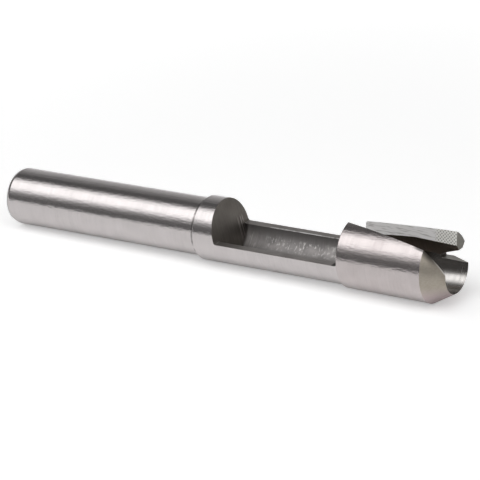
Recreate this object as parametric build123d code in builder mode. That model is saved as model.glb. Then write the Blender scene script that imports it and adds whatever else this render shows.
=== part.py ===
from build123d import *
import os
from math import cos, radians, sin, tan

# A plug cutter turned, bored and milled from one bar of tool steel, in millimetres.
# The origin is the centre of the shank's end face. +X runs along the axis to the
# cutting edge, and +Z is square to the milled floor of the ejection window.

# lengths along the axis, from the shank's end to the cutting edge
shank_length = 50.55
collar_length = 5.6
window_length = 30.05
head_length = 19.55
bevel_length = 4.55

# turned outside
shank_diameter = 12.7
shank_chamfer_depth = 0.4
shank_chamfer_length = 1.0
body_diameter = 14.1
step_chamfer = 0.3
head_back_diameter = 15.1
head_front_diameter = 15.42
edge_thickness = 0.08

# bore: it widens inside the head, then narrows to the plug's own size at the mouth
plug_diameter = 10.0
trough_diameter = 10.4
relief_diameter = 11.7
mouth_length = 11.9

# ejection window, milled a little past the axis and closed by a leaning wall
window_floor_drop = 0.33
window_wall_lean = 10.7
window_corner_radius = 0.6

# gullet: a skewed slot with leaning walls, open to the window and to the front
gullet_near_place = 0.2
gullet_far_place = 5.3
gullet_near_skew = 11.7
gullet_far_skew = 5.0
gullet_near_lean = 12.3
gullet_far_lean = 9.6

# narrow tooth, ground flat at its end, which is set back from the scoring edge and
# leans so that the tooth is longest at its outside; the setback is the one on the axis
narrow_tooth_setback = 2.17
narrow_tooth_lean = 4.0

# notch between the narrow tooth's heel and the long tooth's cutting face
notch_depth = 6.4
notch_throat = 0.79
notch_inset = 0.5
notch_rake_drop = 0.5
notch_rake_lean = 7.0
notch_heel_land = 1.65
notch_heel_lean = 48.0
notch_heel_rise = 20.5

# the cone is ground from the gullet round to the notch
bevel_arc = 280.0

# how far a cutter runs past the metal it removes
overrun = 1.5

shank_radius = shank_diameter / 2
body_radius = body_diameter / 2
head_back_radius = head_back_diameter / 2
head_front_radius = head_front_diameter / 2
plug_radius = plug_diameter / 2
trough_radius = trough_diameter / 2
relief_radius = relief_diameter / 2

window_start = shank_length + collar_length
head_start = window_start + window_length
bevel_start = head_start + head_length
overall_length = bevel_start + bevel_length
relief_start = head_start + relief_radius - trough_radius
mouth_start = overall_length - mouth_length
notch_start = overall_length - notch_depth
narrow_tooth_end = overall_length - narrow_tooth_setback
front_clear = overall_length + overrun
clear_radius = head_front_radius + overrun


def gullet_section(x):
    """The gullet's outline across the axis at a station x, from the axis height outwards."""
    near = gullet_near_place - (x - head_start) * tan(radians(gullet_near_skew))
    far = gullet_far_place - (x - head_start) * tan(radians(gullet_far_skew))
    return [
        (near, 0),
        (far, 0),
        (far + clear_radius * tan(radians(gullet_far_lean)), clear_radius),
        (near - clear_radius * tan(radians(gullet_near_lean)), clear_radius),
    ]


def notch_section(x):
    """The notch's outline across the axis at a station x, from inside the bore outwards."""
    inner = plug_radius - notch_inset
    shoulder = inner + notch_heel_land
    heel = notch_throat - notch_rake_drop + (x - notch_start) * tan(radians(notch_heel_rise))
    return [
        (inner, -notch_rake_drop),
        (clear_radius, -notch_rake_drop - (clear_radius - inner) * tan(radians(notch_rake_lean))),
        (clear_radius, heel + (clear_radius - shoulder) * tan(radians(notch_heel_lean))),
        (shoulder, heel),
        (inner, heel),
    ]


# the window's wall goes on down through the trough, so the bore ends at its plane
wall_lean = radians(window_wall_lean)
wall_plane = Plane(
    origin=(window_start, 0, -window_floor_drop), z_dir=(cos(wall_lean), 0, sin(wall_lean))
)

# bore, from the window's wall to the mouth
with BuildPart() as bore:
    with BuildSketch(Plane.XZ):
        with BuildLine():
            Polyline(
                (shank_length, 0),
                (shank_length, trough_radius),
                (head_start, trough_radius),
                (relief_start, relief_radius),
                (mouth_start, relief_radius),
                (overall_length, plug_radius),
                (front_clear, plug_radius),
                (front_clear, 0),
                close=True,
            )
        make_face()
    revolve(axis=Axis.X)
    split(bisect_by=wall_plane, keep=Keep.TOP)

with BuildPart() as cutter:
    # the whole outside is one turned profile
    with BuildSketch(Plane.XZ):
        with BuildLine():
            Polyline(
                (0, 0),
                (0, shank_radius - shank_chamfer_depth),
                (shank_chamfer_length, shank_radius),
                (shank_length, shank_radius),
                (shank_length, body_radius - step_chamfer),
                (shank_length + step_chamfer, body_radius),
                (head_start, body_radius),
                (head_start, head_back_radius - step_chamfer),
                (head_start + step_chamfer, head_back_radius),
                (bevel_start, head_front_radius),
                (overall_length, head_front_radius),
                (overall_length, 0),
                close=True,
            )
        make_face()
    revolve(axis=Axis.X)

    add(bore.part, mode=Mode.SUBTRACT)

    # window, with the leaning wall that throws the plug out
    wall_run = (clear_radius + window_floor_drop) * tan(wall_lean)
    with BuildSketch(Plane.XZ) as window_profile:
        with BuildLine():
            Polyline(
                (window_start, -window_floor_drop),
                (head_start, -window_floor_drop),
                (head_start, clear_radius),
                (window_start - wall_run, clear_radius),
                close=True,
            )
        make_face()
        feet = window_profile.vertices().group_by(Axis.Z)[0]
        fillet(feet, radius=window_corner_radius)
    extrude(amount=clear_radius, both=True, mode=Mode.SUBTRACT)

    # gullet through the head, ahead of the narrow tooth
    for x in (head_start - overrun, front_clear):
        with BuildSketch(Plane.YZ.offset(x)):
            Polygon(*gullet_section(x), align=None)
    loft(ruled=True, mode=Mode.SUBTRACT)

    # notch between the narrow tooth's heel and the long tooth
    for x in (notch_start, front_clear):
        with BuildSketch(Plane.YZ.offset(x)):
            Polygon(*notch_section(x), align=None)
    loft(ruled=True, mode=Mode.SUBTRACT)

    # cone ground on the long tooth alone, round to the scoring edge at the bore
    with BuildSketch(Plane.XZ):
        with BuildLine():
            Polyline(
                (bevel_start, head_front_radius),
                (overall_length, plug_radius + edge_thickness),
                (front_clear, plug_radius + edge_thickness),
                (front_clear, clear_radius),
                (bevel_start, clear_radius),
                close=True,
            )
        make_face()
    revolve(axis=Axis.X, revolution_arc=bevel_arc, mode=Mode.SUBTRACT)

    # flat end of the narrow tooth
    lean_run = clear_radius * tan(radians(narrow_tooth_lean))
    with BuildSketch(Plane.XY):
        with BuildLine():
            Polyline(
                (narrow_tooth_end, 0),
                (narrow_tooth_end + lean_run, clear_radius),
                (front_clear, clear_radius),
                (front_clear, 0),
                close=True,
            )
        make_face()
    extrude(amount=clear_radius, mode=Mode.SUBTRACT)

cutter.part.label = "cutter_body"
os.makedirs("parts", exist_ok=True)
export_step(cutter.part, "parts/cutter_body.step")
print(cutter.part.bounding_box(), round(cutter.part.volume, 1), len(cutter.part.solids()))
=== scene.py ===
import bmesh
import bpy
import numpy as np
from math import radians
from mathutils import Matrix, Vector


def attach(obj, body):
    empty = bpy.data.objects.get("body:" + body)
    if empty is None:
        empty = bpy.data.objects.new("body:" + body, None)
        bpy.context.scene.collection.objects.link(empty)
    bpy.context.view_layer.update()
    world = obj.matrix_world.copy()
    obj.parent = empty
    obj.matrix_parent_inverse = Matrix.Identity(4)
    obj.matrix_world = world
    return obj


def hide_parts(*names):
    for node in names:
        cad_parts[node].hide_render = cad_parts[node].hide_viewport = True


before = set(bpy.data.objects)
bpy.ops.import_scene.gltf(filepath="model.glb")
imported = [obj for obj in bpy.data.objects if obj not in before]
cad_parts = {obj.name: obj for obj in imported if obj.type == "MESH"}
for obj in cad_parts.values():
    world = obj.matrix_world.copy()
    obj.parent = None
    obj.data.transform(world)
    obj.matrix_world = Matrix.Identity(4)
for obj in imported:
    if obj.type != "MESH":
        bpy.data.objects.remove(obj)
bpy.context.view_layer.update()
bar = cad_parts["cutter_body"]

# the photo's viewing angle, aimed at a point on the bar's axis
cameraValues = {
    "lookAt": (0.05818, 0.0, -0.00182),
    "distance": 0.4873,
    "turn": 34.48,      # degrees from -Y towards +X
    "rise": 23.73,      # degrees above the axis
    "roll": 5.555,
    "lens": 170.92,     # mm, on a sensor 36 mm wide
    "sensor": 36.0,
    "nearest": 0.01,
}


def makeCamera(values):
    data = bpy.data.cameras.new("photoCamera")
    data.sensor_width = values["sensor"]
    data.lens = values["lens"]
    data.clip_start = values["nearest"]
    turn = Matrix.Rotation(radians(values["turn"]), 4, "Z")
    rise = Matrix.Rotation(radians(90 - values["rise"]), 4, "X")
    roll = Matrix.Rotation(radians(-values["roll"]), 4, "Z")
    aim = turn @ rise @ roll
    eye = Vector(values["lookAt"]) + aim @ Vector((0, 0, values["distance"]))
    camera = bpy.data.objects.new("photoCamera", data)
    camera.matrix_world = Matrix.Translation(eye) @ aim
    bpy.context.scene.collection.objects.link(camera)
    bpy.context.scene.camera = camera


makeCamera(cameraValues)
print("camera placed")

# sizes of the bar that the finishes and the floor need, in metres
barValues = {
    "shankRadius": 0.00635,
    "bodyRadius": 0.00705,
    "shankBevel": 0.001,       # length of the bevel at the shank's end
    "bevelLean": 42.0,         # degrees that its worn shading leans back at the very end
    "bodyStart": 0.05085,      # front edge of the chamfer at the collar's step
    "windowStart": 0.05615,    # foot of the window's leaning wall
    "headStart": 0.0862,       # back face of the head
    "stepChamfer": 0.0003,     # length of the chamfer at the head's step
    "coneStart": 0.10575,      # back edge of the cone on the long tooth
    "relief": 2.0,             # degrees that the head's outside is shaded turned, as ground with a relief
    "floorDrop": 0.00033,      # the window's floor is this far below the axis
    "wallLean": 10.7,          # degrees that the window's wall leans back
    "cornerRadius": 0.0006,    # rounding at the foot of the window's walls
    # square to the gullet's near wall, which lies at 0.018052 along it
    "gulletSquare": (0.2071, 1.0, 0.2180),
}


def addNode(tree, kind, links=(), **settings):
    node = tree.nodes.new(kind)
    for key, value in settings.items():
        setattr(node, key, value)
    for name, source in links:
        if isinstance(source, bpy.types.NodeSocket):
            tree.links.new(source, node.inputs[name])
        else:
            node.inputs[name].default_value = source
    return node


def blend(tree, share, first, second):
    # the mix node's factor and two colours are its inputs 0, 6 and 7, and its colour is output 2
    return addNode(tree, "ShaderNodeMix", data_type="RGBA", links=(
        (0, share), (6, first), (7, second))).outputs[2]


def shareAlong(tree, place, start, full, axis="X"):
    # 0 before the station start, 1 past the station full
    axes = addNode(tree, "ShaderNodeSeparateXYZ", links=(("Vector", place),))
    share = addNode(tree, "ShaderNodeMapRange", interpolation_type="SMOOTHSTEP", links=(
        ("Value", axes.outputs[axis]), ("From Min", start), ("From Max", full)))
    return share.outputs[0]


def newMaterial(name):
    material = bpy.data.materials.new(name)
    material.use_nodes = True
    tree = material.node_tree
    tree.nodes.clear()
    return material, tree


# floor: a plain pale disc that touches the bar where it rests
floorValues = {
    "radius": 4.0,
    "corners": 96,
    "colour": (0.92, 0.92, 0.92, 1),
    "cameraGlow": 0.392,    # what the camera sees on top of the lit colour
    "farGlow": 0.9,         # the same far off, where less of the lamps' light arrives
    "far": (0.06, 0.45),    # how far from the middle that starts and is full
    "middle": (0.055, 0.0, 0.0),
    "metalGlow": 0.27,      # what the metal mirrors on top of the lit colour, away from the bar
    # painted shadow: the metal mirrors less of the floor's glow right under the bar
    "shadeUnderBar": 0.25,       # the share of it right under the bar
    "clear": 0.012,         # how far from the axis the full share is reached
}


def makeFloor(values, sizes):
    # a ring of points at equal angles, each on the plane through the two edges that carry the bar
    angle = np.linspace(0, 2 * np.pi, values["corners"], endpoint=False)
    x = values["radius"] * np.cos(angle)
    y = values["radius"] * np.sin(angle)
    slope = (sizes["bodyRadius"] - sizes["shankRadius"]) / (sizes["bodyStart"] - sizes["shankBevel"])
    z = -sizes["shankRadius"] - slope * (x - sizes["shankBevel"])
    mesh = bpy.data.meshes.new("floor")
    mesh.from_pydata(np.stack([x, y, z], 1).tolist(), [], [list(range(values["corners"]))])
    floor = bpy.data.objects.new("floor", mesh)
    bpy.context.scene.collection.objects.link(floor)
    material, tree = newMaterial("floorPaper")
    rays = addNode(tree, "ShaderNodeLightPath")
    place = addNode(tree, "ShaderNodeTexCoord")
    axes = addNode(tree, "ShaderNodeSeparateXYZ", links=(("Vector", place.outputs["Object"]),))
    side = addNode(tree, "ShaderNodeMath", operation="ABSOLUTE", links=((0, axes.outputs["Y"]),))
    # painted shadow under the bar: the glow that the metal mirrors is dimmed close to the bar's axis
    level = addNode(tree, "ShaderNodeMapRange", interpolation_type="SMOOTHSTEP", links=(
        ("Value", side.outputs[0]), ("From Min", 0.0), ("From Max", values["clear"]),
        ("To Min", values["shadeUnderBar"] * values["metalGlow"]), ("To Max", values["metalGlow"])))
    mirrored = addNode(tree, "ShaderNodeMath", operation="MULTIPLY", links=(
        (0, rays.outputs["Is Glossy Ray"]), (1, level.outputs[0])))
    off = addNode(tree, "ShaderNodeVectorMath", operation="DISTANCE", links=(
        (0, place.outputs["Object"]), (1, values["middle"])))
    start, full = values["far"]
    seen = addNode(tree, "ShaderNodeMapRange", interpolation_type="SMOOTHSTEP", links=(
        ("Value", off.outputs["Value"]), ("From Min", start), ("From Max", full),
        ("To Min", values["cameraGlow"]), ("To Max", values["farGlow"])))
    glow = addNode(tree, "ShaderNodeMath", operation="MULTIPLY_ADD", links=(
        (0, rays.outputs["Is Camera Ray"]), (1, seen.outputs[0]), (2, mirrored.outputs[0])))
    paper = addNode(tree, "ShaderNodeBsdfDiffuse", links=(("Color", values["colour"]),))
    light = addNode(tree, "ShaderNodeEmission", links=(("Strength", glow.outputs[0]),))
    both = addNode(tree, "ShaderNodeAddShader", links=((0, paper.outputs[0]), (1, light.outputs[0])))
    addNode(tree, "ShaderNodeOutputMaterial", links=(("Surface", both.outputs[0]),))
    mesh.materials.append(material)


makeFloor(floorValues, barValues)
print("floor laid")

# studio: a long soft box over the near side, brightest along its middle, and a room that is dark
# above and pale behind
lampValues = {
    "centre": (0.055, 0.0, 0.0),
    "tilt": -25.0,              # degrees from straight up towards +Y
    "distance": 0.80,
    "length": 2.4,
    # the width of each layer and its radiance; the layers add up to a soft edge
    "layers": ((0.96, 0.50), (0.74, 0.60), (0.46, 0.58)),
    "spacing": 0.01,
}
roomValues = {
    "ambient": 0.12,            # what matt surfaces receive from all round
    "endGrey": 0.12,            # brightness towards the two ends of the bar
    "ends": (0.75, 0.97),       # where that starts and is full, as the share of a direction along X
    # brightness by the angle round the bar, in degrees from straight up towards +Y
    "ring": ((-99, 1.0), (-93, 0.18), (-84, 0.14), (-70, 0.16), (-60, 0.36), (-50, 0.12), (-2, 0.12),
             (12, 0.13), (22, 0.1), (45, 0.26), (62, 0.42), (90, 0.64), (118, 0.85)),
}


def makeLamps(values):
    turn = Matrix.Rotation(radians(-values["tilt"]), 4, "X")
    for number, (width, radiance) in enumerate(values["layers"]):
        data = bpy.data.lights.new("softBox", "AREA")
        data.shape = "RECTANGLE"
        data.size = values["length"]
        data.size_y = width
        # the power of a flat lamp is its radiance times pi times its area
        data.energy = radiance * np.pi * values["length"] * width
        lamp = bpy.data.objects.new("softBox", data)
        height = values["distance"] + number * values["spacing"]
        place = Vector(values["centre"]) + turn @ Vector((0, 0, height))
        lamp.matrix_world = Matrix.Translation(place) @ turn
        bpy.context.scene.collection.objects.link(lamp)


def makeRoom(values):
    world = bpy.data.worlds.new("studio")
    bpy.context.scene.world = world
    world.use_nodes = True
    tree = world.node_tree
    tree.nodes.clear()
    way = addNode(tree, "ShaderNodeTexCoord")
    axes = addNode(tree, "ShaderNodeSeparateXYZ", links=(("Vector", way.outputs["Generated"]),))
    angle = addNode(tree, "ShaderNodeMath", operation="ARCTAN2", links=(
        (0, axes.outputs["Y"]), (1, axes.outputs["Z"])))
    share = addNode(tree, "ShaderNodeMapRange", links=(
        ("Value", angle.outputs[0]), ("From Min", -np.pi), ("From Max", np.pi)))
    ring = addNode(tree, "ShaderNodeValToRGB", links=(("Fac", share.outputs[0]),))
    ramp = ring.color_ramp
    ramp.interpolation = "EASE"
    while len(ramp.elements) < len(values["ring"]):
        ramp.elements.new(0.5)
    for element, (degrees, level) in zip(ramp.elements, values["ring"]):
        element.position = degrees / 360 + 0.5
        element.color = (level, level, level, 1)
    reach = addNode(tree, "ShaderNodeMath", operation="ABSOLUTE", links=((0, axes.outputs["X"]),))
    start, full = values["ends"]
    end = addNode(tree, "ShaderNodeMapRange", interpolation_type="SMOOTHSTEP", links=(
        ("Value", reach.outputs[0]), ("From Min", start), ("From Max", full)))
    grey = (values["endGrey"],) * 3 + (1,)
    room = blend(tree, end.outputs[0], ring.outputs["Color"], grey)
    rays = addNode(tree, "ShaderNodeLightPath")
    plain = (values["ambient"],) * 3 + (1,)
    lit = blend(tree, rays.outputs["Is Glossy Ray"], plain, room)
    # the camera sees plain white past the floor
    seen = blend(tree, rays.outputs["Is Camera Ray"], lit, (1, 1, 1, 1))
    back = addNode(tree, "ShaderNodeBackground", links=(("Color", seen),))
    addNode(tree, "ShaderNodeOutputWorld", links=(("Surface", back.outputs[0]),))


makeLamps(lampValues)
makeRoom(roomValues)
bpy.context.scene.view_settings.view_transform = "Standard"
print("studio lit")

# finishes: lines gives how many marks there are per metre along X, Y and Z, and depth and edge are
# the height of the marks and the rounding of the edges in the shading
steelValues = {
    "groundRound": {"colour": (0.60, 0.565, 0.563), "dark": (0.53, 0.50, 0.497), "roughness": 0.17,
                    "lines": (3000, 120, 120), "depth": 0.000002, "edge": 0.00006,
                    "mottle": {"lines": (800, 2200, 2200), "depth": 0.000031},
                    "marks": (
                        # painted shade: a dark ring in the crease where the shank meets the collar's step
                        {"lines": (100, 700, 700), "level": (0.35, 0.65), "reach": (0.0499, 0.0506),
                         "colour": (0.10, 0.09, 0.085)},)},
    "groundHead": {"colour": (0.565, 0.52, 0.515), "dark": (0.49, 0.445, 0.44), "roughness": 0.20,
                   "lines": (3000, 120, 120), "depth": 0.000002, "edge": 0.00006,
                   "mottle": {"lines": (800, 2200, 2200), "depth": 0.000033},
                   "paintedRims": (
                       # painted shade on the head beside the gullet's edge
                       {"start": 0.01745, "full": 0.01783, "axis": "X", "grow": (0.1028, 0.1046),
                        "colour": (0.14, 0.13, 0.128)},)},
    "groundCone": {"colour": (0.44, 0.40, 0.345), "dark": (0.36, 0.325, 0.275), "roughness": 0.46,
                   "lines": (120, 4000, 4000), "depth": 0.000003, "edge": 0.00012,
                   "paintedRims": (
                       # painted highlight: a bright line along the gullet's edge, as an edge catching the
                       # light
                       {"start": 0.01786, "full": 0.01798, "axis": "Z", "grow": (0.0005, 0.0012),
                        "colour": (0.72, 0.69, 0.65)},
                       # painted shade on the cone, growing towards the gullet's edge
                       {"start": 0.01645, "full": 0.01791, "axis": "Z", "grow": (0.0015, 0.0046),
                        "colour": (0.05, 0.045, 0.04)}),
                   "fades": (
                       {"axis": "Z", "start": -0.0050, "full": -0.0012, "colour": (0.505, 0.43, 0.43)},)},
    "milledWall": {"colour": (0.178, 0.163, 0.147), "dark": (0.147, 0.133, 0.118), "roughness": 0.5,
                   "lines": (200, 2600, 150), "depth": 0.000002, "edge": 0.00008,
                   "marks": (
                       {"lines": (50, 2800, 50), "level": (0.50, 0.64), "reach": (0.0558, 0.0570),
                        "band": (0.0032, 0.0054), "colour": (0.52, 0.48, 0.46)},)},
    "milledFloor": {"colour": (0.36, 0.333, 0.32), "dark": (0.245, 0.222, 0.21), "roughness": 0.40,
                    "lines": (300, 3000, 3000), "depth": 0.000004, "edge": 0.00014, "metal": 0.85,
                    "marks": (
                        # painted highlight along the far rail's inner edge
                        {"lines": (500, 100, 100), "level": (0.40, 0.55), "reach": (0.0630, 0.0880),
                         "band": (0.00500, 0.00555), "colour": (0.98, 0.97, 0.96)},
                        # painted shade where the near rail's top dips at its front end
                        {"lines": (100, 100, 100), "level": (0.1, 0.2), "reach": (0.0849, 0.0868),
                         "band": (-0.0080, -0.0045), "colour": (0.05, 0.045, 0.04)})},
    "trough": {"colour": (0.36, 0.34, 0.335), "dark": (0.25, 0.24, 0.235), "roughness": 0.55,
               "lines": (2200, 120, 120), "depth": 0.000005, "edge": 0.00014, "metal": 0.8,
               "marks": (
                   {"lines": (350, 350, 350), "level": (0.44, 0.72), "reach": (0.0600, 0.0872),
                    "band": (0.0015, 0.0048), "colour": (0.43, 0.405, 0.397)},
                   {"lines": (3000, 400, 400), "level": (0.57, 0.68), "reach": (0.0567, 0.0610),
                    "colour": (0.52, 0.50, 0.49)},
                   {"lines": (2300, 1200, 1200), "level": (0.56, 0.69), "reach": (0.063, 0.084),
                    "band": (0.0029, 0.0047), "colour": (0.72, 0.695, 0.68)},
                   {"lines": (2400, 500, 500), "level": (0.54, 0.66), "reach": (0.0820, 0.0872),
                    "band": (-0.0049, 0.0049), "colour": (0.60, 0.58, 0.57)}),
               "fades": (
                   {"axis": "Y", "start": 0.0016, "full": 0.0049, "colour": (0.20, 0.19, 0.185)},
                   {"axis": "Y", "start": 0.0053, "full": 0.0046, "colour": (0.26, 0.245, 0.24)},
                   # painted shade at the foot of the window's wall
                   {"axis": "X", "start": 0.0567, "full": 0.0575, "colour": (0.06, 0.053, 0.05)})},
    "headBore": {"colour": (0.62, 0.595, 0.575), "dark": (0.47, 0.455, 0.44), "roughness": 0.23,
                 "lines": (3000, 120, 120), "depth": 0.0000015, "edge": 0.00005, "metal": 0.94,
                 "fades": (
                     # painted shade: the bore is darker deeper in the head, before the station along X
                     {"axis": "X", "start": 0.0995, "full": 0.1035, "colour": (0.115, 0.085, 0.065)},
                     # painted shade: and darker towards its near side, below the station along Y
                     {"axis": "Y", "start": 0.0009, "full": 0.0019, "colour": (0.19, 0.18, 0.17)})},
    "shadedBore": {"colour": (0.34, 0.28, 0.24), "dark": (0.24, 0.195, 0.165), "roughness": 0.5,
                   "lines": (3000, 120, 120), "depth": 0.000003, "edge": 0.00005},
    # painted shade: the notch's end wall is coloured dark for the shade in the notch
    "notchEnd": {"colour": (0.075, 0.062, 0.052), "dark": (0.055, 0.045, 0.038), "roughness": 0.5,
                 "lines": (200, 2600, 2600), "depth": 0.000002, "edge": 0.00005},
    "gulletWall": {"colour": (0.40, 0.38, 0.355), "dark": (0.28, 0.265, 0.24), "roughness": 0.36,
                   "lines": (120, 2500, 2500), "depth": 0.000004, "edge": 0.00005},
    "cuttingFace": {"colour": (0.98, 0.965, 0.955), "dark": (0.93, 0.91, 0.90), "roughness": 0.5,
                    "lines": (180, 2400, 2400), "depth": 0.000006, "edge": 0.00005, "metal": 0.02,
                    "marks": (
                        {"lines": (140, 3000, 3000), "level": (0.53, 0.68), "reach": (0.080, 0.112),
                         "colour": (0.62, 0.60, 0.585)},),
                    "hatch": {"start": 0.1027, "full": 0.1044, "pitch": 0.00075, "level": (-0.5, 0.4),
                              "colour": (0.98, 0.965, 0.92), "dark": (0.36, 0.345, 0.31)}},
    "toothEnd": {"colour": (0.20, 0.19, 0.17), "dark": (0.155, 0.147, 0.13), "roughness": 0.40,
                 "lines": (200, 3000, 3000), "depth": 0.000003, "edge": 0.00005},
}
# what all the finishes share: fine lines and larger patches blend each finish's colour into its dark
grainValues = {
    "lineDetail": 3.0,
    "lineRoughness": 0.6,
    "lineLevel": (0.3, 0.7),        # the noise's levels between which the lines show
    "lineShare": 0.5,
    "patches": 260.0,               # per metre
    "patchDetail": 4.0,
    "patchRoughness": 0.55,
    "patchLevel": (0.35, 0.7),
    "patchShare": 0.6,
    "roughnessSpan": (0.85, 1.2),   # times the finish's roughness, from its colour to its dark
    "edgeSamples": 6,
    "mottleDetail": 4.0,
    "markDetail": 2.0,
    "markMargin": 0.12,             # marks fade out over this share of their reach, each side of its ends
}


def addMarksAndPaintedLight(tree, place, plain, values, grain):
    # scratches, and in some finishes painted highlights and painted shade: where a stretched noise passes
    # a level, between two stations along X and, where a band is given, between two more along Y
    stretch = addNode(tree, "ShaderNodeMapping", links=(("Vector", place), ("Scale", values["lines"])))
    noise = addNode(tree, "ShaderNodeTexNoise", links=(
        ("Vector", stretch.outputs[0]), ("Scale", 1.0), ("Detail", grain["markDetail"])))
    low, high = values["level"]
    above = addNode(tree, "ShaderNodeMapRange", links=(
        ("Value", noise.outputs["Fac"]), ("From Min", low), ("From Max", high)))
    kept = above.outputs[0]
    for axis, key in (("X", "reach"), ("Y", "band")):
        if key in values:
            start, end = values[key]
            margin = grain["markMargin"] * (end - start)
            for none, full in ((start - margin, start + margin), (end + margin, end - margin)):
                kept = addNode(tree, "ShaderNodeMath", operation="MULTIPLY", links=(
                    (0, kept), (1, shareAlong(tree, place, none, full, axis)))).outputs[0]
    return blend(tree, kept, plain, values["colour"] + (1,))


def addHatch(tree, place, plain, values):
    # crossed grinding marks near the tooth's tip: the higher of two sine waves, one along x + z and
    # one along x - z, is bright where it passes a level; faded in along X
    axes = addNode(tree, "ShaderNodeSeparateXYZ", links=(("Vector", place),))
    waves = []
    for operation in ("ADD", "SUBTRACT"):
        way = addNode(tree, "ShaderNodeMath", operation=operation, links=(
            (0, axes.outputs["X"]), (1, axes.outputs["Z"])))
        phase = addNode(tree, "ShaderNodeMath", operation="MULTIPLY", links=(
            (0, way.outputs[0]), (1, 2 * np.pi / values["pitch"])))
        waves.append(addNode(tree, "ShaderNodeMath", operation="SINE", links=((0, phase.outputs[0]),)))
    crossed = addNode(tree, "ShaderNodeMath", operation="MAXIMUM", links=(
        (0, waves[0].outputs[0]), (1, waves[1].outputs[0])))
    low, high = values["level"]
    share = addNode(tree, "ShaderNodeMapRange", links=(
        ("Value", crossed.outputs[0]), ("From Min", low), ("From Max", high)))
    crossing = blend(tree, share.outputs[0], values["dark"] + (1,), values["colour"] + (1,))
    return blend(tree, shareAlong(tree, place, values["start"], values["full"]), plain, crossing)


def addPaintedRim(tree, place, plain, values, square):
    # painted light beside the gullet's near wall, a painted highlight or painted shade: the place is
    # measured square to the wall, the tint starts and is full at two such measures, and it grows in
    # between two stations along one axis
    way = addNode(tree, "ShaderNodeVectorMath", operation="DOT_PRODUCT", links=(
        (0, place), (1, square)))
    share = addNode(tree, "ShaderNodeMapRange", interpolation_type="SMOOTHSTEP", links=(
        ("Value", way.outputs["Value"]), ("From Min", values["start"]), ("From Max", values["full"])))
    kept = addNode(tree, "ShaderNodeMath", operation="MULTIPLY", links=(
        (0, share.outputs[0]), (1, shareAlong(tree, place, *values["grow"], values["axis"]))))
    return blend(tree, kept.outputs[0], plain, values["colour"] + (1,))


def makeSteel(name, values, grain, square):
    material, tree = newMaterial(name)
    place = addNode(tree, "ShaderNodeTexCoord")
    stretch = addNode(tree, "ShaderNodeMapping", links=(
        ("Vector", place.outputs["Object"]), ("Scale", values["lines"])))
    lines = addNode(tree, "ShaderNodeTexNoise", links=(
        ("Vector", stretch.outputs[0]), ("Scale", 1.0), ("Detail", grain["lineDetail"]),
        ("Roughness", grain["lineRoughness"])))
    patches = addNode(tree, "ShaderNodeTexNoise", links=(
        ("Vector", place.outputs["Object"]), ("Scale", grain["patches"]),
        ("Detail", grain["patchDetail"]), ("Roughness", grain["patchRoughness"])))
    low, high = grain["lineLevel"]
    shade = addNode(tree, "ShaderNodeMapRange", links=(
        ("Value", lines.outputs["Fac"]), ("From Min", low), ("From Max", high)))
    low, high = grain["patchLevel"]
    worn = addNode(tree, "ShaderNodeMapRange", links=(
        ("Value", patches.outputs["Fac"]), ("From Min", low), ("From Max", high),
        ("To Max", grain["patchShare"])))
    mixed = addNode(tree, "ShaderNodeMath", operation="MULTIPLY_ADD", use_clamp=True, links=(
        (0, shade.outputs[0]), (1, grain["lineShare"]), (2, worn.outputs[0])))
    shown = blend(tree, mixed.outputs[0], values["colour"] + (1,), values["dark"] + (1,))
    for marks in values.get("marks", ()):
        shown = addMarksAndPaintedLight(tree, place.outputs["Object"], shown, marks, grain)
    if "hatch" in values:
        shown = addHatch(tree, place.outputs["Object"], shown, values["hatch"])
    # a fade shows its own colour before the station start, and the finish past the station full
    for fade in values.get("fades", ()):
        share = shareAlong(tree, place.outputs["Object"], fade["start"], fade["full"], fade["axis"])
        shown = blend(tree, share, fade["colour"] + (1,), shown)
    # painted highlights and painted shade beside the gullet's near wall
    for paintedRim in values.get("paintedRims", ()):
        shown = addPaintedRim(tree, place.outputs["Object"], shown, paintedRim, square)
    low, high = grain["roughnessSpan"]
    rough = addNode(tree, "ShaderNodeMapRange", links=(
        ("Value", mixed.outputs[0]), ("To Min", values["roughness"] * low),
        ("To Max", values["roughness"] * high)))
    rounded = addNode(tree, "ShaderNodeBevel", samples=grain["edgeSamples"], links=(
        ("Radius", values["edge"]),))
    bump = addNode(tree, "ShaderNodeBump", links=(
        ("Height", lines.outputs["Fac"]), ("Distance", values["depth"]), ("Strength", 1.0),
        ("Normal", rounded.outputs[0])))
    if "mottle" in values:
        mottle = values["mottle"]
        drawn = addNode(tree, "ShaderNodeMapping", links=(
            ("Vector", place.outputs["Object"]), ("Scale", mottle["lines"])))
        uneven = addNode(tree, "ShaderNodeTexNoise", links=(
            ("Vector", drawn.outputs[0]), ("Scale", 1.0), ("Detail", grain["mottleDetail"])))
        bump = addNode(tree, "ShaderNodeBump", links=(
            ("Height", uneven.outputs["Fac"]), ("Distance", mottle["depth"]), ("Strength", 1.0),
            ("Normal", bump.outputs[0])))
    steel = addNode(tree, "ShaderNodeBsdfPrincipled", links=(
        ("Base Color", shown), ("Metallic", values.get("metal", 1.0)),
        ("Roughness", rough.outputs[0]), ("Normal", bump.outputs[0])))
    addNode(tree, "ShaderNodeOutputMaterial", links=(("Surface", steel.outputs[0]),))
    return material


# how nearly a face has to look one way to count as looking there, as the cosine of the angle between
sortValues = {
    "away": 0.3,            # straight out from the axis
    "inward": 0.6,          # straight in at the axis
    "endFace": 0.98,        # along X, for the flat faces that end the bar or a step
    "cone": 0.3,            # forward, for the cone
    "wall": 0.5,            # forward, for the window's leaning wall
    "notch": 0.9,           # forward, for the notch's end wall
    "tooth": 0.95,          # forward, for the narrow tooth's end
    "up": 0.9,              # up, for the window's floor
    "across": 0.9,          # towards -Y, for the narrow tooth's cutting face
    "acrossUp": 0.05,       # and up a little as well
    "floorWithin": 0.00005,     # metres that a face may lie off the floor's height
}


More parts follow.
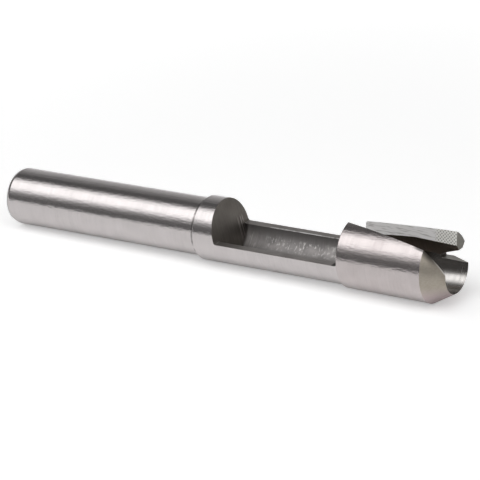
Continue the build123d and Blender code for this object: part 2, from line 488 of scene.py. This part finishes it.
def sortFaces(normals, centres, sizes, limits):
    # the finish of each face, told from where it looks and where it lies; a later line overrules
    radial = centres[:, 1:] / np.linalg.norm(centres[:, 1:], axis=1)[:, None]
    outward = (normals[:, 1:] * radial).sum(1)
    forward = normals[:, 0]
    x, y, z = centres.T
    beforeHead = x < sizes["headStart"]
    inHead = x > sizes["headStart"]
    onTeeth = x > sizes["coneStart"]
    outside = outward > limits["away"]
    bore = outward < -limits["inward"]
    level = np.abs(z + sizes["floorDrop"]) < limits["floorWithin"]
    names = np.full(len(x), "gulletWall", dtype=object)
    names[outside & (np.abs(forward) < limits["endFace"])] = "groundRound"
    names[forward < -limits["endFace"]] = "groundRound"
    names[outside & inHead] = "groundHead"
    names[outside & onTeeth & (forward > limits["cone"])] = "groundCone"
    names[bore & beforeHead] = "trough"
    names[bore & ~beforeHead] = "headBore"
    names[bore & ~beforeHead & (y > 0) & (z > 0)] = "shadedBore"
    names[beforeHead & (forward > limits["wall"])] = "milledWall"
    names[inHead & (x < sizes["coneStart"]) & (forward > limits["notch"])] = "notchEnd"
    names[level & (normals[:, 2] > limits["up"])] = "milledFloor"
    facing = (normals[:, 1] < -limits["across"]) & (normals[:, 2] > limits["acrossUp"])
    names[inHead & (y > 0) & (z > 0) & facing] = "cuttingFace"
    names[onTeeth & (forward > limits["tooth"])] = "toothEnd"
    return names


def sharedByFace(flags, cornerFace, count):
    # for each corner, whether the flag holds at all the corners of its face
    missing = np.bincount(cornerFace, weights=~flags, minlength=count)
    return (missing == 0)[cornerFace]


# what tells the faces that are shaded round; the lengths are in metres
roundValues = {
    "weld": 0.000001,       # points of the CAD mesh nearer than this become one
    "turn": 24.0,           # degrees that the exact normal may lie off the face's own
    "away": 0.3,            # a turned face looks straight out, or in, by at least this cosine
    "within": 0.00001,      # a corner this close to a station along X counts as there
    "stepWithin": 0.00002,  # the same for the two steps and for the foot roundings
    "stepLean": 0.5,        # how far back a step's chamfer looks at least, as the share along X
    "flatEnd": 0.9,         # a face that looks along X by this share is the shank's flat end
    "footSide": 0.05,       # a foot rounding looks sideways by less than this share
}


def roundedNormals(normals, corners, cornerFace, sizes, limits):
    # round a face turned about X, the normal at a corner is the face's own lean along X with the rest
    # pointing straight out from the axis, or straight in; elsewhere it is the face's normal
    faceNormal = normals[cornerFace]
    radial = corners[:, 1:] / np.linalg.norm(corners[:, 1:], axis=1)[:, None]
    inOut = (faceNormal[:, 1:] * radial).sum(1)
    lean = np.clip(faceNormal[:, :1], -1, 1)
    exact = np.hstack([lean, np.sign(inOut)[:, None] * np.sqrt(1 - lean ** 2) * radial])
    near = (exact * faceNormal).sum(1) > np.cos(radians(limits["turn"]))
    turned = sharedByFace(near & (np.abs(inOut) > limits["away"]), cornerFace, len(normals))
    result = np.where(turned[:, None], exact, faceNormal)
    # outside the head it is turned by the relief
    relief = radians(sizes["relief"]) * (corners[:, 0] > sizes["headStart"] - limits["within"])
    sine, cosine = np.sin(relief), np.cos(relief)
    y = result[:, 1] * cosine + result[:, 2] * sine
    z = result[:, 2] * cosine - result[:, 1] * sine
    result = np.where((turned & (inOut > 0))[:, None], np.stack([result[:, 0], y, z], 1), result)
    # the chamfers at the two steps are shaded into the round ahead of them
    stepFront = np.array([sizes["bodyStart"], sizes["headStart"] + sizes["stepChamfer"]])
    atStep = (np.abs(corners[:, :1] - stepFront) < limits["stepWithin"]).any(1)
    chamfer = atStep & (lean[:, 0] < -limits["stepLean"]) & (inOut > 0)
    result = np.where(chamfer[:, None], np.hstack([0 * lean, radial]), result)
    # the bevel at the shank's end is shaded as if worn round
    back = radians(sizes["bevelLean"]) * (1 - np.clip(corners[:, :1] / sizes["shankBevel"], 0, 1))
    worn = np.hstack([-np.sin(back), np.cos(back) * radial])
    nearEnd = corners[:, 0] < sizes["shankBevel"] + limits["within"]
    bevel = nearEnd & (np.abs(faceNormal[:, 0]) < limits["flatEnd"])
    result = np.where(sharedByFace(bevel, cornerFace, len(normals))[:, None], worn, result)
    # in the two foot roundings of the window it points at the rounding's centre line
    radius = sizes["cornerRadius"]
    wallLean = radians(sizes["wallLean"])
    behind = sizes["windowStart"] + radius * (1 - np.sin(wallLean)) / np.cos(wallLean)
    for centre in (behind, sizes["headStart"] - radius):
        inward = np.array([centre, 0, radius - sizes["floorDrop"]]) - corners * (1, 0, 1)
        length = np.linalg.norm(inward, axis=1)
        onRounding = np.abs(length - radius) < limits["stepWithin"]
        foot = onRounding & (np.abs(faceNormal[:, 1]) < limits["footSide"])
        foot = sharedByFace(foot, cornerFace, len(normals))
        result = np.where(foot[:, None], inward / length[:, None], result)
    return result


def makeCutter(source, looks, grain, sizes, sorting, rounding):
    mesh = source.data.copy()
    mesh.name = "cutter"
    welded = bmesh.new()
    welded.from_mesh(mesh)
    bmesh.ops.remove_doubles(welded, verts=welded.verts, dist=rounding["weld"])
    welded.to_mesh(mesh)
    welded.free()
    count = len(mesh.polygons)
    normals = np.empty(count * 3)
    centres = np.empty(count * 3)
    mesh.polygons.foreach_get("normal", normals)
    mesh.polygons.foreach_get("center", centres)
    normals = normals.reshape(-1, 3)
    centres = centres.reshape(-1, 3)
    finish = sortFaces(normals, centres, sizes, sorting)
    names = list(looks)
    mesh.materials.clear()
    for name in names:
        mesh.materials.append(makeSteel(name, looks[name], grain, sizes["gulletSquare"]))
    index = np.array([names.index(name) for name in finish], dtype=np.int32)
    mesh.polygons.foreach_set("material_index", index)
    points = np.empty(len(mesh.vertices) * 3)
    mesh.vertices.foreach_get("co", points)
    cornerPoint = np.empty(len(mesh.loops), dtype=np.int32)
    mesh.loops.foreach_get("vertex_index", cornerPoint)
    sides = np.empty(count, dtype=np.int32)
    mesh.polygons.foreach_get("loop_total", sides)
    cornerFace = np.repeat(np.arange(count), sides)
    corners = points.reshape(-1, 3)[cornerPoint]
    mesh.polygons.foreach_set("use_smooth", np.ones(count, dtype=bool))
    mesh.normals_split_custom_set(roundedNormals(normals, corners, cornerFace, sizes, rounding))
    mesh.update()
    cutter = bpy.data.objects.new("cutter", mesh)
    bpy.context.scene.collection.objects.link(cutter)
    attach(cutter, "root")
    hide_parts("cutter_body")
    found, amount = np.unique(finish.astype(str), return_counts=True)
    print("cutter finished:", dict(zip(found.tolist(), amount.tolist())))


makeCutter(bar, steelValues, grainValues, barValues, sortValues, roundValues)
